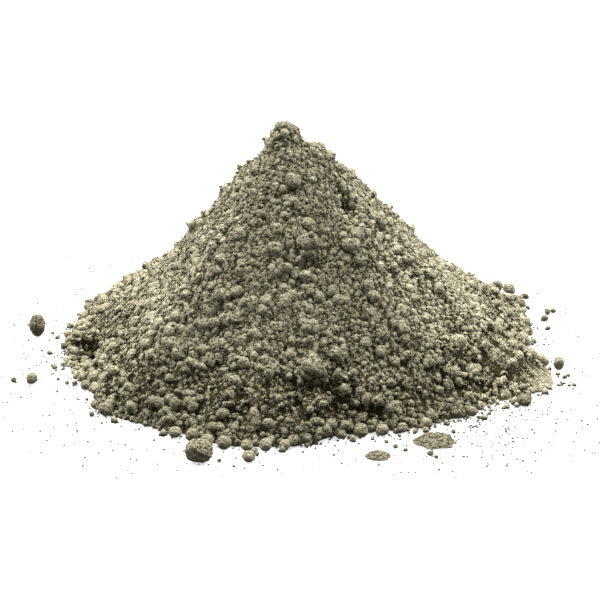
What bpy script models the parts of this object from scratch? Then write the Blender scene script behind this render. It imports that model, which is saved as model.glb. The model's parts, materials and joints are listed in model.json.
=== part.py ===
"""A heap of dry grey cement powder, poured out on a level floor, with the round lumps that rolled off it.

Metres, +Z up. The origin is on the floor, plumb under the middle of the cone. -Y is the front.
Bearings are degrees round from +X, so 270 is the front.
"""
import math
import random

import bmesh
import bpy
from mathutils import Euler, Matrix, Vector, noise
from mathutils.bvhtree import BVHTree

# The cone of powder, blunt at its top and flaring a little at its foot
CONE_HEIGHT = 0.151
BLUNT_RADIUS = 0.013
FOOT_FLARE = 0.20
# How far the foot of the slope reaches, by bearing
FOOT_REACH = [
    (0, 0.165), (12, 0.172), (24, 0.184), (38, 0.188), (55, 0.184), (72, 0.180), (90, 0.180),
    (110, 0.180), (130, 0.182), (150, 0.176), (165, 0.166), (180, 0.161), (195, 0.154), (206, 0.153),
    (220, 0.163), (230, 0.163), (237, 0.160), (245, 0.159), (254, 0.165), (264, 0.163), (273, 0.157),
    (282, 0.148), (294, 0.151), (308, 0.157), (320, 0.159), (330, 0.170), (337, 0.186), (344, 0.184),
    (352, 0.170),
]
# Knolls and hollows of the slope as x, y, spread and rise. A hollow's rise is negative
SLOPE_FORMS = {
    "summit_knob": (-0.007, 0.000, 0.0055, 0.0147),
    "summit_shoulder": (0.0185, 0.000, 0.0050, 0.0080),
    "left_shoulder": (-0.036, 0.014, 0.0125, 0.0060),
    "right_shoulder": (0.042, 0.015, 0.0115, 0.0050),
    "back_left_dip": (-0.103, 0.047, 0.026, -0.0080),
    "back_right_dip": (0.103, 0.046, 0.020, -0.0060),
    "middle_clod": (0.009, -0.060, 0.008, 0.0050),
    "hollow_beside_middle_clod": (-0.004, -0.064, 0.006, -0.0060),
    "hollow_under_middle_clod": (0.001, -0.071, 0.007, -0.0035),
    "clod_under_hollow": (-0.009, -0.077, 0.009, 0.0035),
    "right_upper_hollow": (0.033, -0.024, 0.006, -0.0040),
    "right_hollow": (0.059, -0.027, 0.006, -0.0045),
    "right_clod": (0.039, -0.050, 0.006, 0.0025),
    "left_clod": (-0.046, -0.076, 0.010, 0.0025),
    "low_left_clod": (-0.061, -0.111, 0.009, 0.0030),
    "low_middle_hollow": (0.022, -0.128, 0.010, -0.0040),
    "left_foot_crust": (-0.150, -0.012, 0.011, 0.0050),
    "left_foot_hollow": (-0.141, -0.038, 0.007, -0.0060),
}
# Waves of clods in the powder as wavelength and height, fading out where the slope is this thin
CLOD_WAVES = [(0.036, 0.0034), (0.017, 0.0032), (0.010, 0.0026)]
CLOD_FADE_HEIGHT = 0.020
# Lumps half buried in the slope as bearing, distance from the middle and diameter
BURIED_LUMPS = [
    (153, 0.129, 0.0095), (162, 0.146, 0.0095), (191, 0.157, 0.0090), (197, 0.153, 0.0100),
    (199, 0.145, 0.0065), (204, 0.153, 0.0100), (217, 0.156, 0.0115), (220, 0.146, 0.0095),
    (227, 0.155, 0.0100), (242, 0.156, 0.0085), (250, 0.159, 0.0070), (256, 0.160, 0.0085),
    (260, 0.155, 0.0085), (269, 0.151, 0.0115), (270, 0.157, 0.0100), (276, 0.120, 0.0140),
    (285, 0.121, 0.0120), (289, 0.124, 0.0095), (293, 0.127, 0.0070), (277, 0.132, 0.0095),
    (274, 0.139, 0.0100), (287, 0.132, 0.0100), (293, 0.136, 0.0115), (309, 0.150, 0.0095),
    (312, 0.156, 0.0115), (318, 0.153, 0.0070), (272, 0.149, 0.0085), (341, 0.156, 0.0100),
    (338, 0.162, 0.0100), (335, 0.160, 0.0090), (20, 0.131, 0.0070), (19, 0.141, 0.0080),
    (25, 0.174, 0.0075),
]
# The share of a half-buried lump's diameter that is under the slope
BURIED_SHARE = 0.30
# The side of the heap that faces away, where lumps are placed by rule: its bearings, the shares
# of the foot's reach between which they lie, how many there are, and their diameters
HIDDEN_SIDE = (45, 145)
HIDDEN_BAND = (0.72, 0.96)
HIDDEN_BURIED_LUMPS = 22
LUMP_DIAMETERS = (0.0065, 0.0120)

# Clods caked into the slope as x, y, and width, depth and thickness
NAMED_CLODS = {
    "middle": (0.0095, -0.0620, (0.0115, 0.0100, 0.0095)),
    "under_hollow": (-0.0085, -0.0745, (0.0125, 0.0095, 0.0075)),
    "right_of_middle": (0.0385, -0.0505, (0.0100, 0.0085, 0.0080)),
    "middle_lower": (0.0085, -0.0785, (0.0120, 0.0095, 0.0070)),
    "left_round": (-0.0465, -0.0760, (0.0115, 0.0100, 0.0095)),
    "left_low": (-0.0610, -0.1110, (0.0125, 0.0105, 0.0090)),
    "left_lower": (-0.0755, -0.0920, (0.0110, 0.0100, 0.0085)),
    "right_angular": (0.1045, -0.0740, (0.0130, 0.0120, 0.0110)),
    "low_pair": (0.0245, -0.1045, (0.0110, 0.0100, 0.0090)),
    "summit_left_tuft": (-0.0145, 0.0000, (0.0050, 0.0050, 0.0120)),
    "summit_right_tuft": (0.0015, -0.0010, (0.0045, 0.0045, 0.0090)),
    "left_foot_crust": (-0.1490, -0.0100, (0.0250, 0.0210, 0.0070)),
    "left_foot_block": (-0.1500, -0.0430, (0.0120, 0.0090, 0.0120)),
}
# How far a named clod's middle stands out of the slope, as a share of its thickness
NAMED_STANDING = 0.10
# The clods that fill the slope between them by rule: how many are tried, the shares of the foot's reach
# between which they lie, their widths, and the ranges of their depth and thickness as shares of the width
CLOD_TRIES = 6000
CLOD_BAND = (0.07, 0.94)
CLOD_WIDTHS = (0.0060, 0.0150)
CLOD_DEPTHS = (0.65, 1.00)
CLOD_THICKNESSES = (0.55, 0.85)
# How much smaller they are on the left and right flanks than at the front
FLANK_FINENESS = 0.35
# The range of their standing, as a share of the thickness, and how they lean with the slope
CLOD_STANDING = (-0.22, 0.22)
SLOPE_LEAN = math.radians(41)
# The least distance between two as a share of their widths' sum, how much that varies between crowded
# and bare patches, and the size of those patches
CLOD_SPACING = 0.66
CLOD_PATCHINESS = 0.90
CLOD_PATCH_SIZE = 0.042

# Lumps that lie on the floor clear of the slope as bearing, distance, and width, depth and height
LOOSE_LUMPS = {
    "lump_front_large": (252.5, 0.1880, (0.0178, 0.0165, 0.0145)),
    "lump_front_small": (261.3, 0.1815, (0.0085, 0.0080, 0.0072)),
    "lump_left_tall": (172.5, 0.1880, (0.0122, 0.0120, 0.0180)),
    "lump_left_round": (199.0, 0.1870, (0.0082, 0.0080, 0.0074)),
    "lump_left_tiny": (197.5, 0.1985, (0.0042, 0.0040, 0.0038)),
    "lump_right_tall": (348.5, 0.1850, (0.0080, 0.0078, 0.0095)),
    "lump_right_front": (327.0, 0.1785, (0.0105, 0.0095, 0.0080)),
    "lump_back_right": (19.8, 0.2010, (0.0046, 0.0044, 0.0050)),
}
# Lumps that rolled down and rest against the foot of the slope as bearing and width
FOOT_LUMPS = [
    (154, 0.0072), (148, 0.0072), (180, 0.0060), (207, 0.0075), (218, 0.0060), (223, 0.0105), (243, 0.0078),
    (247, 0.0092), (251, 0.0085), (255, 0.0098), (260, 0.0078), (264, 0.0092), (268, 0.0078), (281, 0.0078),
    (286, 0.0104), (291, 0.0084), (296, 0.0070), (302, 0.0084), (315, 0.0075), (350, 0.0065), (10, 0.0058),
    (15, 0.0058), (25, 0.0098), (34, 0.0060), (37, 0.0088),
]
HIDDEN_FOOT_LUMPS = 9
# Their depth and height as shares of their width
FOOT_LUMP_SHAPE = (0.94, 0.88)
# Thin pats of powder spilt on the floor as bearing, distance, width, depth and thickness
SPILLS = {
    "spill_front_right": (300.0, 0.1755, 0.0290, 0.0240, 0.0024),
    "spill_front": (286.5, 0.1800, 0.0170, 0.0150, 0.0022),
}

# A lump's surface: how far it departs from an ellipsoid, and in how many waves over its width
LUMP_ROUGHNESS = 0.10
LUMP_WAVES = 3.2
# Where the next lump reads the noise, so that no two are alike
LUMP_SHIFT = Vector((3.7, 1.3, 2.1))
# Lumps larger than this are cut to finer facets
LARGE_LUMP = 0.010
# A pat's outline: how ragged it is and in how many waves. Its shoulder: how far out and how high it is
SPILL_RAGGEDNESS = 0.28
SPILL_WAVES = 1.6
SPILL_SHOULDER = (0.72, 0.80)
SPILL_OUTLINE_POINTS = 22
# The gap that touching pieces keep, and the step by which a lump rolls in to it
TOUCH_GAP = 0.0004
ROLL_STEP = 0.0002

# How finely the powder's form is taken before it is simplified to its flat facets
GRID_BEARINGS = 300
GRID_RINGS = 70
POWDER_VOXEL = 0.0025
KEPT_FACETS = 0.122
SKIRT_DEPTH = 0.010
FLOOR_CUTTER = (0.6, 0.6, 0.05)
SEED = 5511

POWDER_COLOUR = (0.235, 0.215, 0.150, 1.0)
LUMP_COLOUR = (0.262, 0.240, 0.172, 1.0)
DRY_ROUGHNESS = 0.95


def on_floor(bearing, distance):
    """The point of the floor at a bearing and a distance from the origin."""
    angle = math.radians(bearing)
    return Vector((distance * math.cos(angle), distance * math.sin(angle), 0.0))


def foot_reach(bearing):
    """Reach of the foot at a bearing, on a smooth closed curve through FOOT_REACH."""
    count = len(FOOT_REACH)
    bearing = bearing % 360
    after = next((i for i, (angle, _) in enumerate(FOOT_REACH) if angle > bearing), count)
    around = []
    for index in range(after - 2, after + 2):
        angle, reach = FOOT_REACH[index % count]
        around.append((angle + 360 * (index // count), reach))
    share = (bearing - around[1][0]) / (around[2][0] - around[1][0])
    before, start, end, beyond = (reach for _, reach in around)
    return 0.5 * (
        2 * start
        + (end - before) * share
        + (2 * before - 5 * start + 4 * end - beyond) * share ** 2
        + (3 * start - before - 3 * end + beyond) * share ** 3
    )


def smooth_height(x, y):
    """Height of the cone with its knolls and hollows over the floor, before its clods."""
    bearing = math.degrees(math.atan2(y, x))
    rounded = math.hypot(x, y, BLUNT_RADIUS) - BLUNT_RADIUS
    reach = math.hypot(foot_reach(bearing), BLUNT_RADIUS) - BLUNT_RADIUS
    share = rounded / reach
    height = CONE_HEIGHT * (1 - share) * (1 - FOOT_FLARE * share)
    for form_x, form_y, spread, rise in SLOPE_FORMS.values():
        apart = ((x - form_x) ** 2 + (y - form_y) ** 2) / spread ** 2
        height += rise * math.exp(-0.5 * apart)
    return height


def powder_height(x, y):
    """Height of the powder's surface over the floor, with its clods."""
    height = smooth_height(x, y)
    fade = max(0.0, min(1.0, height / CLOD_FADE_HEIGHT))
    for wavelength, rise in CLOD_WAVES:
        height += fade * rise * noise.noise(Vector((x, y, height)) / wavelength)
    return max(height, 0.0)


def material(name, colour):
    made = bpy.data.materials.new(name)
    made.use_nodes = True
    shader = made.node_tree.nodes["Principled BSDF"]
    shader.inputs["Base Color"].default_value = colour
    shader.inputs["Roughness"].default_value = DRY_ROUGHNESS
    shader.inputs["Metallic"].default_value = 0.0
    made.diffuse_color = colour
    return made


def object_of(name, shape, finish):
    """A named object with the bmesh as its mesh."""
    mesh = bpy.data.meshes.new(name)
    shape.to_mesh(mesh)
    shape.free()
    mesh.materials.append(finish)
    made = bpy.data.objects.new(name, mesh)
    bpy.context.scene.collection.objects.link(made)
    return made


def add_lump(shape, size, seed, facets):
    """Adds a rough ellipsoid of the given width, depth and height, and returns its vertices."""
    verts = bmesh.ops.create_icosphere(shape, subdivisions=facets, radius=0.5)["verts"]
    for vert in verts:
        vert.co *= 1 + 2 * LUMP_ROUGHNESS * noise.noise(vert.co * LUMP_WAVES + seed * LUMP_SHIFT)
    extent = [max(v.co[axis] for v in verts) - min(v.co[axis] for v in verts) for axis in range(3)]
    for vert in verts:
        vert.co = Vector(vert.co[axis] * size[axis] / extent[axis] for axis in range(3))
    return verts


def set_down(verts, lean, place, rise):
    """Leans a lump and moves its middle to a place at this rise over the smooth slope."""
    middle = Vector((place.x, place.y, smooth_height(place.x, place.y) + rise))
    for vert in verts:
        vert.co = lean @ vert.co + middle


def add_cone(shape):
    """Adds the cone of powder as a closed body with a skirt that reaches under the floor."""
    rings = []
    for ring in range(1, GRID_RINGS + 1):
        points = []
        for step in range(GRID_BEARINGS):
            bearing = 360 * step / GRID_BEARINGS
            place = on_floor(bearing, foot_reach(bearing) * ring / GRID_RINGS)
            place.z = powder_height(place.x, place.y)
            points.append(shape.verts.new(place))
        rings.append(points)
    rings.append([shape.verts.new(v.co - Vector((0, 0, SKIRT_DEPTH))) for v in rings[-1]])
    top = shape.verts.new((0, 0, powder_height(0, 0)))
    for step in range(GRID_BEARINGS):
        after = (step + 1) % GRID_BEARINGS
        shape.faces.new((top, rings[0][step], rings[0][after]))
        for inner, outer in zip(rings, rings[1:]):
            shape.faces.new((inner[step], outer[step], outer[after], inner[after]))
    shape.faces.new(reversed(rings[-1]))


def buried_lumps(chance):
    """Places and diameters of the half-buried lumps, with those of the hidden side added by rule."""
    placed = [(on_floor(bearing, distance), size) for bearing, distance, size in BURIED_LUMPS]
    for _ in range(HIDDEN_BURIED_LUMPS):
        bearing = chance.uniform(*HIDDEN_SIDE)
        distance = foot_reach(bearing) * chance.uniform(*HIDDEN_BAND)
        placed.append((on_floor(bearing, distance), chance.uniform(*LUMP_DIAMETERS)))
    return placed


def named_clods():
    """Places, sizes, leans and standings of the clods that have a name."""
    return [
        (Vector((x, y, 0.0)), size, Matrix.Identity(3), NAMED_STANDING)
        for x, y, size in NAMED_CLODS.values()
    ]


def clods_by_rule(chance, taken):
    """Places, sizes, leans and standings of the other clods, clear of the places and widths taken."""
    placed = []
    for _ in range(CLOD_TRIES):
        bearing = chance.uniform(0, 360)
        share = math.sqrt(chance.uniform(CLOD_BAND[0] ** 2, CLOD_BAND[1] ** 2))
        place = on_floor(bearing, foot_reach(bearing) * share)
        width = CLOD_WIDTHS[0] + (CLOD_WIDTHS[1] - CLOD_WIDTHS[0]) * share * chance.random() ** 2
        width *= 1 - FLANK_FINENESS * abs(math.cos(math.radians(bearing)))
        size = (width, width * chance.uniform(*CLOD_DEPTHS), width * chance.uniform(*CLOD_THICKNESSES))
        turn = Matrix.Rotation(chance.uniform(0, math.tau), 3, "Z")
        lean = Matrix.Rotation(SLOPE_LEAN, 3, on_floor(bearing + 90, 1.0)) @ turn
        standing = chance.uniform(*CLOD_STANDING)
        spacing = CLOD_SPACING * (1 + CLOD_PATCHINESS * noise.noise(place / CLOD_PATCH_SIZE))
        if all((place - other).length > spacing * (width + other_width) for other, other_width in taken):
            placed.append((place, size, lean, standing))
            taken.append((place, width))
    return placed


def add_buried_lumps(shape, chance):
    """Adds the lumps that lie half buried in the slope."""
    for number, (place, diameter) in enumerate(buried_lumps(chance)):
        verts = add_lump(shape, (diameter,) * 3, number, 3)
        set_down(verts, Matrix.Identity(3), place, (0.5 - BURIED_SHARE) * diameter)


def add_clods(shape, chance):
    """Adds the clods that are caked into the slope."""
    clods = named_clods()
    taken = [(place, size[0]) for place, size, _, _ in clods]
    taken += [(on_floor(bearing, distance), diameter) for bearing, distance, diameter in BURIED_LUMPS]
    clods += clods_by_rule(chance, taken)
    for number, (place, size, lean, standing) in enumerate(clods):
        set_down(add_lump(shape, size, number + 0.5, 2), lean, place, standing * size[2])


def floor_cutter():
    """The space under the floor, which trims whatever reaches below it."""
    shape = bmesh.new()
    bmesh.ops.create_cube(shape, size=1.0, matrix=Matrix.Diagonal((*FLOOR_CUTTER, 1.0)))
    bmesh.ops.translate(shape, verts=shape.verts, vec=(0, 0, -FLOOR_CUTTER[2] / 2))
    cutter = object_of("under_floor", shape, None)
    cutter.hide_render = True
    cutter.display_type = "WIRE"
    return cutter


def powder_heap(finish, chance):
    """The heap itself: the cone with its buried lumps and clods, fused, faceted and cut flat underneath."""
    shape = bmesh.new()
    add_buried_lumps(shape, chance)
    add_clods(shape, random.Random(SEED + 1))
    add_cone(shape)
    bmesh.ops.recalc_face_normals(shape, faces=shape.faces)
    heap = object_of("cement_heap", shape, finish)
    fuse = heap.modifiers.new("fuse", "REMESH")
    fuse.mode = "VOXEL"
    fuse.voxel_size = POWDER_VOXEL
    facet = heap.modifiers.new("facet", "DECIMATE")
    facet.ratio = KEPT_FACETS
    trim = heap.modifiers.new("trim", "BOOLEAN")
    trim.operation = "DIFFERENCE"
    trim.object = floor_cutter()
    return heap


def tree_of(made):
    """A search tree of an object's evaluated surface in world space."""
    graph = bpy.context.evaluated_depsgraph_get()
    mesh = made.evaluated_get(graph).to_mesh()
    points = [made.matrix_world @ vert.co for vert in mesh.vertices]
    return BVHTree.FromPolygons(points, [tuple(face.vertices) for face in mesh.polygons])


def is_clear(shape, trees):
    """Whether a lump cuts none of the surfaces and keeps the touching gap to them."""
    own = BVHTree.FromBMesh(shape)
    return all(
        not own.overlap(tree) and min(tree.find_nearest(vert.co)[3] for vert in shape.verts) > TOUCH_GAP
        for tree in trees
    )


def seated(shape, place, turn):
    """Turns a lump about the vertical and sets it down on the floor at a place."""
    bmesh.ops.rotate(shape, verts=shape.verts, matrix=Euler((0, 0, turn)).to_matrix())
    low = min(vert.co.z for vert in shape.verts)
    bmesh.ops.translate(shape, verts=shape.verts, vec=Vector((place.x, place.y, -low)))


def loose_lump(name, bearing, distance, size, finish, seed):
    """A lump that lies on the floor by itself."""
    shape = bmesh.new()
    add_lump(shape, size, seed, 2 if max(size) > LARGE_LUMP else 1)
    seated(shape, on_floor(bearing, distance), 0.0)
    return object_of(name, shape, finish)


def foot_lump(name, bearing, width, finish, seed, trees):
    """A lump that rolled down the slope to the first place where it fits outside the foot."""
    shape = bmesh.new()
    add_lump(shape, (width, *(width * share for share in FOOT_LUMP_SHAPE)), seed, 1)
    seated(shape, on_floor(bearing, foot_reach(bearing)), seed)
    while not is_clear(shape, trees):
        bmesh.ops.translate(shape, verts=shape.verts, vec=ROLL_STEP * on_floor(bearing, 1.0))
    return object_of(name, shape, finish)


def spill(name, bearing, distance, width, depth, thickness, finish, seed):
    """A thin pat of powder with a ragged outline and a low crown."""
    shape = bmesh.new()
    place = on_floor(bearing, distance)
    shoulder_out, shoulder_up = SPILL_SHOULDER
    foot = []
    crown = []
    for step in range(SPILL_OUTLINE_POINTS):
        angle = 2 * math.pi * step / SPILL_OUTLINE_POINTS
        round_place = Vector((math.cos(angle), math.sin(angle), 0))
        ragged = 1 + SPILL_RAGGEDNESS * noise.noise(round_place * SPILL_WAVES + Vector((0, 0, seed)))
        outline = Vector((round_place.x * width / 2, round_place.y * depth / 2, 0)) * ragged
        shoulder = outline * shoulder_out + Vector((0, 0, thickness * shoulder_up))
        foot.append(shape.verts.new(place + outline))
        crown.append(shape.verts.new(place + shoulder))
    top = shape.verts.new(place + Vector((0, 0, thickness)))
    for step in range(SPILL_OUTLINE_POINTS):
        after = (step + 1) % SPILL_OUTLINE_POINTS
        shape.faces.new((foot[step], foot[after], crown[after], crown[step]))
        shape.faces.new((crown[step], crown[after], top))
    shape.faces.new(reversed(foot))
    return object_of(name, shape, finish)


def foot_lump_places(chance):
    """Bearings and widths of the lumps at the foot, with those of the hidden side added by rule."""
    low, high = HIDDEN_SIDE
    spacing = (high - low) / HIDDEN_FOOT_LUMPS
    hidden = [
        (low + spacing * (index + chance.uniform(0.2, 0.8)), chance.uniform(*LUMP_DIAMETERS))
        for index in range(HIDDEN_FOOT_LUMPS)
    ]
    return FOOT_LUMPS + hidden


def main():
    for old in list(bpy.data.objects):
        bpy.data.objects.remove(old)
    chance = random.Random(SEED)
    powder = material("cement_powder", POWDER_COLOUR)
    caked = material("cement_lump", LUMP_COLOUR)

    heap = powder_heap(powder, chance)
    bpy.context.view_layer.update()
    trees = [tree_of(heap)]
    for seed, (name, (bearing, distance, size)) in enumerate(LOOSE_LUMPS.items()):
        trees.append(tree_of(loose_lump(name, bearing, distance, size, caked, seed)))
    for seed, (name, figures) in enumerate(SPILLS.items()):
        trees.append(tree_of(spill(name, *figures, powder, seed)))
    for number, (bearing, width) in enumerate(foot_lump_places(chance), start=1):
        trees.append(tree_of(foot_lump(f"foot_lump_{number:02d}", bearing, width, caked, number, trees)))


main()
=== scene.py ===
"""The looks of a poured heap of dry cement powder.

They are its crumbly skin, the crumbs and caked lumps on it and at its foot, the thin pats beside it and the
specks round it.

Metres, +Z up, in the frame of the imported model. -Y is the front and +X the right.
Bearings are degrees round from +X, so 270 is the front.
"""
import json
import math
import random

import bmesh
import bpy
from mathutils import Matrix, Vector, noise

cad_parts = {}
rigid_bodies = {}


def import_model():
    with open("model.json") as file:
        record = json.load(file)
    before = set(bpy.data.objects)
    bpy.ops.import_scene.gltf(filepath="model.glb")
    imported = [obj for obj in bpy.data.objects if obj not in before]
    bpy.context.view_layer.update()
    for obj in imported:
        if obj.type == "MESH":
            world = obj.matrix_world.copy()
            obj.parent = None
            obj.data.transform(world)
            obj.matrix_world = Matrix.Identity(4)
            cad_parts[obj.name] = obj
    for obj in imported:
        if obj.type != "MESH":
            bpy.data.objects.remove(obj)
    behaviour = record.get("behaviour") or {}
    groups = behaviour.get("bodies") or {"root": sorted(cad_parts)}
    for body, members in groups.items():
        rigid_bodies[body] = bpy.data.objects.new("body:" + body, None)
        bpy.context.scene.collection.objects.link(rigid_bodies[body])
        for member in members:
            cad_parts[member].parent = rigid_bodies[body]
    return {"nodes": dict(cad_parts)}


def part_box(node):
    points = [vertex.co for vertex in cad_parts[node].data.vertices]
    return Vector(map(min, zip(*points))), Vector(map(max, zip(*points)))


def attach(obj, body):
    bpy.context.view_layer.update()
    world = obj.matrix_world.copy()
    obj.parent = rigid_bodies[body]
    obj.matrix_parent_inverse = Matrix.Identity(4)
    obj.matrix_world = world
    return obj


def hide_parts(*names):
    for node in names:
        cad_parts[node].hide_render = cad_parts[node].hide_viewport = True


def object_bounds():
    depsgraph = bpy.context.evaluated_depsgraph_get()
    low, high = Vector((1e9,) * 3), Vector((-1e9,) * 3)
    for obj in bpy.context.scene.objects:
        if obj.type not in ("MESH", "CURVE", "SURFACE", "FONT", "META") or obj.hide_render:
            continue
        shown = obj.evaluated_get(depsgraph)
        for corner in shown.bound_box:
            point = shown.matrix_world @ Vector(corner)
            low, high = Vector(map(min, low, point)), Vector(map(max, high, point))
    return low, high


# The photographer's place: the point looked at, how far off and how high, and the lens on a 36 mm film
LOOK_AT = Vector((0.0035, 0.0, 0.037))
LOOK_DISTANCE = 1.1
LOOK_ELEVATION = 20.4
LENS_MM = 94.08
FILM_MM = 36.0

# The lamps as bearing, elevation, strength and softness in degrees
LAMPS = {
    "window_back_left": (154, 50, 9.0, 26),
    "window_back_right": (23, 50, 8.6, 26),
    "softbox_front": (265, 50, 1.9, 90),
}
SKY_COLOUR = (1.0, 0.92, 0.68, 1.0)
SKY_STRENGTH = 0.07
FLOOR_SIZE = 60.0
FLOOR_DROP = 0.0001
FLOOR_WHITE = (0.38, 0.38, 0.38, 1.0)
FLOOR_GLOW = 0.62

# Colours of the dry powder, then of the caked lumps and the spilt pats: painted shade in the crevices, the
# body, and a painted highlight on the crests
POWDER_SHADE_BODY_HIGHLIGHT = ((0.026, 0.020, 0.007, 1.0), (0.415, 0.385, 0.257, 1.0), (0.490, 0.462, 0.334, 1.0))
LUMP_SHADE_BODY_HIGHLIGHT = ((0.046, 0.036, 0.014, 1.0), (0.262, 0.241, 0.161, 1.0), (0.345, 0.321, 0.226, 1.0))
SPILT_SHADE_BODY_HIGHLIGHT = ((0.034, 0.026, 0.010, 1.0), (0.205, 0.187, 0.124, 1.0), (0.330, 0.305, 0.212, 1.0))
# Painted shade: the body's darker colour on the front slope, how far in front of the middle it begins and is
# full, and how much of the way to the side is taken off that
POWDER_FRONT_SHADE = (0.228, 0.210, 0.139, 1.0)
FRONT_SHADE_FROM = (-0.030, 0.030)
FRONT_SHADE_NARROWING = 0.9
# The body's colour up high, and the heights between which it begins
POWDER_UP_HIGH = (0.330, 0.305, 0.204, 1.0)
HIGH_COLOUR_FROM = (0.060, 0.115)
# How far a point has to stand out of its surroundings to be a crest with a painted highlight, or sink to take
# painted shade, and how many mesh steps those reach
POWDER_STANDING = 0.00028
LUMP_STANDING = 0.00030
SURROUNDINGS = 6

# Each finish as its name, its colours with painted shade and highlight, its painted shade in front, its body
# colour up high, a crest's standing and how strong the painted shade in its creases and pits is
FINISHES = {
    "powder": (
        "cement_powder_finish", POWDER_SHADE_BODY_HIGHLIGHT, POWDER_FRONT_SHADE, POWDER_UP_HIGH, POWDER_STANDING, 1.5,
    ),
    "pellet": (
        "cement_pellet_finish", POWDER_SHADE_BODY_HIGHLIGHT, POWDER_FRONT_SHADE, POWDER_UP_HIGH, POWDER_STANDING, 1.2,
    ),
    "caked": (
        "cement_lump_finish", LUMP_SHADE_BODY_HIGHLIGHT, LUMP_SHADE_BODY_HIGHLIGHT[1], LUMP_SHADE_BODY_HIGHLIGHT[1], LUMP_STANDING, 0.8,
    ),
    "spilt": (
        "cement_spilt_finish", SPILT_SHADE_BODY_HIGHLIGHT, SPILT_SHADE_BODY_HIGHLIGHT[1], SPILT_SHADE_BODY_HIGHLIGHT[1], LUMP_STANDING, 0.8,
    ),
}
# What darkens or pales a finish: blotches and grains as width and weight, and the weights of the painted
# shade and highlight from standing out and of a crumb's tone
BLOTCHES = (0.0300, 0.5)
GRAINS = (0.0010, 1.6)
STANDING_WEIGHT = 1.1
TONE_WEIGHT = 0.3
# Creases as the width of the lumps between them and the distance from a crease at which its painted shade
# ends
WIDE_CREASES = (0.0034, 0.14)
NARROW_CREASES = (0.0018, 0.20)
# Pits of painted shade as width, the noise between which a pit ends, and weight beside the creases
PITS = (0.0013, 0.36, 0.46, 0.9)
# The shades between which painted crevice shade turns into the body, and the body into painted crest
# highlight
CREVICE_SHADES = (-1.5, 0.1)
CREST_SHADES = (0.3, 1.9)
# How much of its painted highlight a crest loses in the painted shade of the front slope
FRONT_HIGHLIGHT_LOSS = 0.7
# The depth of the bump, and what makes it up as width and share of that depth
BUMP_DEPTH = 0.0075
BUMP_UNEVENNESS = (0.0018, 0.30)
BUMP_GRAIN = (0.0008, 0.35)
BUMP_WIDE_DOMES = (0.0032, 0.14)
BUMP_NARROW_DOMES = (0.0016, 0.16)
BUMP_PITS = 0.12
MATT_ROUGHNESS = 0.96
MATT_SHINE = 0.12

# The heap's skin: the fineness of its mesh before and after lumps are fused into it
BASE_VOXEL = 0.0018
SKIN_VOXEL = 0.00085
SKIN_FACES = 560000
# The skin's quarters as the sides of x and y that they lie on
QUARTERS = {
    "heap_skin_front_left": (-1.0, -1.0),
    "heap_skin_front_right": (1.0, -1.0),
    "heap_skin_back_left": (-1.0, 1.0),
    "heap_skin_back_right": (1.0, 1.0),
}
# Lumps fused into the skin as number per square metre, smallest and largest width, coarsening at the foot,
# sunk share, patchiness and fineness of form
FUSED_LUMPS = {
    "clods": (12000.0, 0.0045, 0.0100, 0.20, 0.52, 0.60, 2),
    "granules": (190000.0, 0.0016, 0.0036, 0.40, 0.56, 0.35, 1),
}
# The skin's fine unevenness as width and height, and its fall-line streaks as width, length and height
UNEVENNESS = (0.0022, 0.0010)
STREAKS = (0.0060, 0.030, 0.0013)
# The distance from the middle at which a streak has that width, and the distances between which streaks begin
STREAK_RADIUS = 0.10
STREAKS_FROM = (0.020, 0.060)
# The sideways share of the way out between which streaks begin, so that the front and the back have none
SIDE_FROM = (0.20, 0.75)
# The heights between which the skin's relief begins
RELIEF_FROM = (0.0, 0.004)
SEED = 5511

# Balls pulled into crumbs: the rise and sharpness of their knobs, how far roughness draws the ball in, and
# the waves on it as number over a ball and height
KNOB_RISES = (0.10, 0.30)
KNOB_SHARPNESS = 6
ROUGH_SHRINKAGE = 0.08
BROAD_WAVES = (2.2, 0.24)
FINE_WAVES = (6.5, 0.10)
# Collections of crumb forms as count, fineness, knobs, roughness and flatness
CRUMB_FORMS = {
    "fine_crumbs": (10, 1, 2, 1.0, 1.0),
    "coarse_crumbs": (10, 2, 2, 0.6, 1.0),
    "speck_forms": (8, 1, 1, 1.0, 0.6),
}
# A height over the summit, for crumbs that lie all the way up
OVER_SUMMIT = 0.60
# Loose crumbs on the slope as finish, forms, number per square metre, smallest and largest width, coarsening
# at the foot, patchiness and the height at which they end
SLOPE_LAYERS = {
    "slope_crumbs_fine": ("powder", "fine_crumbs", 44000.0, 0.0008, 0.0019, 0.20, 0.40, OVER_SUMMIT),
    "slope_crumbs_medium": ("powder", "fine_crumbs", 16000.0, 0.0014, 0.0030, 0.40, 0.70, OVER_SUMMIT),
    "slope_crumbs_coarse": ("pellet", "coarse_crumbs", 3000.0, 0.0026, 0.0050, 0.50, 0.80, OVER_SUMMIT),
    "foot_pellets": ("pellet", "coarse_crumbs", 24000.0, 0.0032, 0.0085, 0.10, 0.40, 0.028),
}
LAYER_SUNK = 0.36
# Crumbs on the floor as finish, forms, number per square metre, fading away from the foot, smallest and
# largest width, and patchiness
FLOOR_LAYERS = {
    "foot_fringe": ("pellet", "fine_crumbs", 90000.0, 0.0035, 0.0012, 0.0062, 0.50),
    "floor_specks": ("spilt", "speck_forms", 90000.0, 0.0320, 0.0005, 0.0022, 0.75),
}
FLOOR_SEED = SEED + 90
# Patches of more crumbs, as width and the noise between which a patch begins
SLOPE_PATCHES = (0.020, 0.35, 0.62)
FLOOR_PATCHES = (0.014, 0.42, 0.62)
# How much rarer large crumbs are than small ones, as the power of an even draw
SLOPE_RARITY = 2.5
FLOOR_RARITY = 3.0
# How far up a face has to look to carry crumbs, how they thin out at their upper end, and how high their
# coarsening at the foot reaches
UPRIGHT_FROM = (0.0, 0.2)
THINNING = (0.0, 0.4)
COARSE_BELOW = 0.060
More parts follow.
